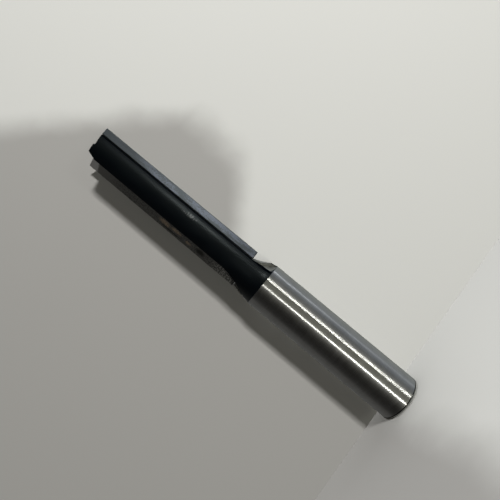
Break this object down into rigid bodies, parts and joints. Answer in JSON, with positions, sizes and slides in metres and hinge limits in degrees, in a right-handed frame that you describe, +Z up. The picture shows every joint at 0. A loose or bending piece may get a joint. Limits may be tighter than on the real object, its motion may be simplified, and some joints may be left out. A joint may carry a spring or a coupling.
{
  "type": "router bit",
  "caption": "Straight router bit: bright ground shank, black fluted steel cutter core and long carbide strips brazed along both cutting edges.",
  "frame": {"origin": "middle of the shank's end face, which the bit stands on", "axes": "+Z up the tool's axis from the shank's end to the cutting end; +X through the first tip's cutting edge"},
  "size_m": [0.012, 0.012, 0.1012],
  "materials": {
    "tool_steel": "ground shank, satin black painted head",
    "carbide": "fine ground, dull grey"
  },
  "bodies": {
    "root": {"tool_body": "tool_steel", "carbide_tip_1": "carbide", "carbide_tip_2": "carbide"}
  },
  "joints": []
}
